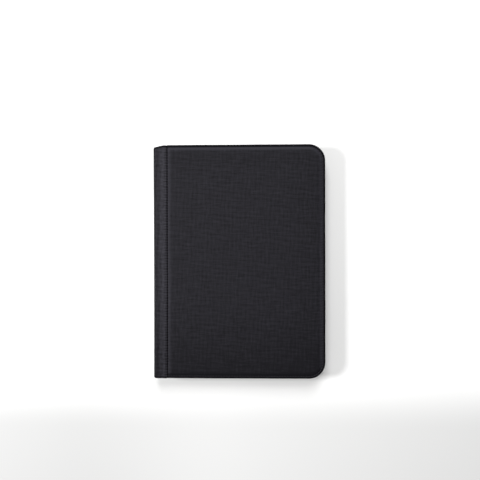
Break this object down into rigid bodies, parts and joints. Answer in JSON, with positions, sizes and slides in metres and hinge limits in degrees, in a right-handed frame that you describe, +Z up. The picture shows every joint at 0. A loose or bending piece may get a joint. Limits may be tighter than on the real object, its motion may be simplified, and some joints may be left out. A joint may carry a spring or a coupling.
{
  "type": "zipped trading card binder",
  "caption": "Zipped book-style case with padded covers, a soft spine and clear side-loading pocket pages for trading cards.",
  "frame": {"origin": "centre of the closed case's footprint, on the table, at the back cover's outer face", "axes": "+X from the spine to the fore edge, +Y to the head of the case, +Z up through the pages to the front cover"},
  "size_m": [0.25, 0.34, 0.036],
  "materials": {
    "cover_fabric": "fine woven, near black",
    "strip_fabric": "fine woven, dark grey",
    "foam": "soft closed cell foam",
    "board": "grey board, matt",
    "lining": "smooth woven lining",
    "zip_tape": "herringbone tape",
    "zip_coil": "nylon coil",
    "slider_metal": "black lacquered metal",
    "binding": "flexible strip",
    "page_core": "opaque black sheet",
    "page_film": "clear soft film"
  },
  "bodies": {
    "back_cover": {"back_outer_fabric": "cover_fabric", "back_foam_pad": "foam", "back_board": "board", "back_lining": "lining", "back_shoulder": "strip_fabric", "back_zip_tape": "zip_tape", "back_zip_coil": "zip_coil"},
    "spine": {"spine_fabric": "strip_fabric", "spine_board": "board", "page_binding": "binding"},
    "front_cover": {"front_outer_fabric": "cover_fabric", "front_foam_pad": "foam", "front_board": "board", "front_lining": "lining", "front_shoulder": "strip_fabric", "front_zip_tape": "zip_tape", "front_zip_coil": "zip_coil"},
    "page_01": {"page_core_01": "page_core", "page_pockets_01": "page_film"},
    "page_02": {"page_core_02": "page_core", "page_pockets_02": "page_film"},
    "page_03": {"page_core_03": "page_core", "page_pockets_03": "page_film"},
    "page_04": {"page_core_04": "page_core", "page_pockets_04": "page_film"},
    "page_05": {"page_core_05": "page_core", "page_pockets_05": "page_film"},
    "page_06": {"page_core_06": "page_core", "page_pockets_06": "page_film"},
    "page_07": {"page_core_07": "page_core", "page_pockets_07": "page_film"},
    "page_08": {"page_core_08": "page_core", "page_pockets_08": "page_film"},
    "page_09": {"page_core_09": "page_core", "page_pockets_09": "page_film"},
    "page_10": {"page_core_10": "page_core", "page_pockets_10": "page_film"},
    "page_11": {"page_core_11": "page_core", "page_pockets_11": "page_film"},
    "page_12": {"page_core_12": "page_core", "page_pockets_12": "page_film"},
    "page_13": {"page_core_13": "page_core", "page_pockets_13": "page_film"},
    "page_14": {"page_core_14": "page_core", "page_pockets_14": "page_film"},
    "page_15": {"page_core_15": "page_core", "page_pockets_15": "page_film"},
    "page_16": {"page_core_16": "page_core", "page_pockets_16": "page_film"},
    "page_17": {"page_core_17": "page_core", "page_pockets_17": "page_film"},
    "page_18": {"page_core_18": "page_core", "page_pockets_18": "page_film"},
    "page_19": {"page_core_19": "page_core", "page_pockets_19": "page_film"},
    "page_20": {"page_core_20": "page_core", "page_pockets_20": "page_film"},
    "zip_slider": {"zip_slider": "slider_metal"},
    "zip_pull": {"zip_pull": "slider_metal"}
  },
  "joints": [
    {"name": "spine_hinge", "type": "hinge", "parent": "back_cover", "child": "spine", "pos_m": [-0.1237, 0, 0.0013], "axis": [0, -1, 0], "range_deg": [0, 90]},
    {"name": "front_hinge", "type": "hinge", "parent": "spine", "child": "front_cover", "pos_m": [-0.1237, 0, 0.0347], "axis": [0, -1, 0], "range_deg": [0, 90]},
    {"name": "page_01_turn", "type": "hinge", "parent": "spine", "child": "page_01", "pos_m": [-0.11935, 0, 0.03035], "axis": [0, -1, 0], "range_deg": [0, 90]},
    {"name": "page_02_turn", "type": "hinge", "parent": "spine", "child": "page_02", "pos_m": [-0.11805, 0, 0.02905], "axis": [0, -1, 0], "range_deg": [0, 90]},
    {"name": "page_03_turn", "type": "hinge", "parent": "spine", "child": "page_03", "pos_m": [-0.11675, 0, 0.02775], "axis": [0, -1, 0], "range_deg": [0, 90]},
    {"name": "page_04_turn", "type": "hinge", "parent": "spine", "child": "page_04", "pos_m": [-0.11545, 0, 0.02645], "axis": [0, -1, 0], "range_deg": [0, 90]},
    {"name": "page_05_turn", "type": "hinge", "parent": "spine", "child": "page_05", "pos_m": [-0.11415, 0, 0.02515], "axis": [0, -1, 0], "range_deg": [0, 90]},
    {"name": "page_06_turn", "type": "hinge", "parent": "spine", "child": "page_06", "pos_m": [-0.11285, 0, 0.02385], "axis": [0, -1, 0], "range_deg": [0, 90]},
    {"name": "page_07_turn", "type": "hinge", "parent": "spine", "child": "page_07", "pos_m": [-0.11155, 0, 0.02255], "axis": [0, -1, 0], "range_deg": [0, 90]},
    {"name": "page_08_turn", "type": "hinge", "parent": "spine", "child": "page_08", "pos_m": [-0.11025, 0, 0.02125], "axis": [0, -1, 0], "range_deg": [0, 90]},
    {"name": "page_09_turn", "type": "hinge", "parent": "spine", "child": "page_09", "pos_m": [-0.10895, 0, 0.01995], "axis": [0, -1, 0], "range_deg": [0, 90]},
    {"name": "page_10_turn", "type": "hinge", "parent": "spine", "child": "page_10", "pos_m": [-0.10765, 0, 0.01865], "axis": [0, -1, 0], "range_deg": [0, 90]},
    {"name": "page_11_turn", "type": "hinge", "parent": "spine", "child": "page_11", "pos_m": [-0.10765, 0, 0.01735], "axis": [0, -1, 0], "range_deg": [-90, 0]},
    {"name": "page_12_turn", "type": "hinge", "parent": "spine", "child": "page_12", "pos_m": [-0.10895, 0, 0.01605], "axis": [0, -1, 0], "range_deg": [-90, 0]},
    {"name": "page_13_turn", "type": "hinge", "parent": "spine", "child": "page_13", "pos_m": [-0.11025, 0, 0.01475], "axis": [0, -1, 0], "range_deg": [-90, 0]},
    {"name": "page_14_turn", "type": "hinge", "parent": "spine", "child": "page_14", "pos_m": [-0.11155, 0, 0.01345], "axis": [0, -1, 0], "range_deg": [-90, 0]},
    {"name": "page_15_turn", "type": "hinge", "parent": "spine", "child": "page_15", "pos_m": [-0.11285, 0, 0.01215], "axis": [0, -1, 0], "range_deg": [-90, 0]},
    {"name": "page_16_turn", "type": "hinge", "parent": "spine", "child": "page_16", "pos_m": [-0.11415, 0, 0.01085], "axis": [0, -1, 0], "range_deg": [-90, 0]},
    {"name": "page_17_turn", "type": "hinge", "parent": "spine", "child": "page_17", "pos_m": [-0.11545, 0, 0.00955], "axis": [0, -1, 0], "range_deg": [-90, 0]},
    {"name": "page_18_turn", "type": "hinge", "parent": "spine", "child": "page_18", "pos_m": [-0.11675, 0, 0.00825], "axis": [0, -1, 0], "range_deg": [-90, 0]},
    {"name": "page_19_turn", "type": "hinge", "parent": "spine", "child": "page_19", "pos_m": [-0.11805, 0, 0.00695], "axis": [0, -1, 0], "range_deg": [-90, 0]},
    {"name": "page_20_turn", "type": "hinge", "parent": "spine", "child": "page_20", "pos_m": [-0.11935, 0, 0.00565], "axis": [0, -1, 0], "range_deg": [-90, 0]},
    {"name": "slider_slide", "type": "slide", "parent": "back_cover", "child": "zip_slider", "axis": [1, 0, 0], "range_m": [0, 0.19]},
    {"name": "pull_swing", "type": "hinge", "parent": "zip_slider", "child": "zip_pull", "pos_m": [-0.095, -0.16755, 0.018], "axis": [0, 0, -1], "range_deg": [0, 180]}
  ],
  "couplings": [
    {"joint": "page_01_turn", "follows": "front_hinge", "ratio": 1},
    {"joint": "page_02_turn", "follows": "front_hinge", "ratio": 1},
    {"joint": "page_03_turn", "follows": "front_hinge", "ratio": 1},
    {"joint": "page_04_turn", "follows": "front_hinge", "ratio": 1},
    {"joint": "page_05_turn", "follows": "front_hinge", "ratio": 1},
    {"joint": "page_06_turn", "follows": "front_hinge", "ratio": 1},
    {"joint": "page_07_turn", "follows": "front_hinge", "ratio": 1},
    {"joint": "page_08_turn", "follows": "front_hinge", "ratio": 1},
    {"joint": "page_09_turn", "follows": "front_hinge", "ratio": 1},
    {"joint": "page_10_turn", "follows": "front_hinge", "ratio": 1},
    {"joint": "page_11_turn", "follows": "spine_hinge", "ratio": -1},
    {"joint": "page_12_turn", "follows": "spine_hinge", "ratio": -1},
    {"joint": "page_13_turn", "follows": "spine_hinge", "ratio": -1},
    {"joint": "page_14_turn", "follows": "spine_hinge", "ratio": -1},
    {"joint": "page_15_turn", "follows": "spine_hinge", "ratio": -1},
    {"joint": "page_16_turn", "follows": "spine_hinge", "ratio": -1},
    {"joint": "page_17_turn", "follows": "spine_hinge", "ratio": -1},
    {"joint": "page_18_turn", "follows": "spine_hinge", "ratio": -1},
    {"joint": "page_19_turn", "follows": "spine_hinge", "ratio": -1},
    {"joint": "page_20_turn", "follows": "spine_hinge", "ratio": -1}
  ]
}
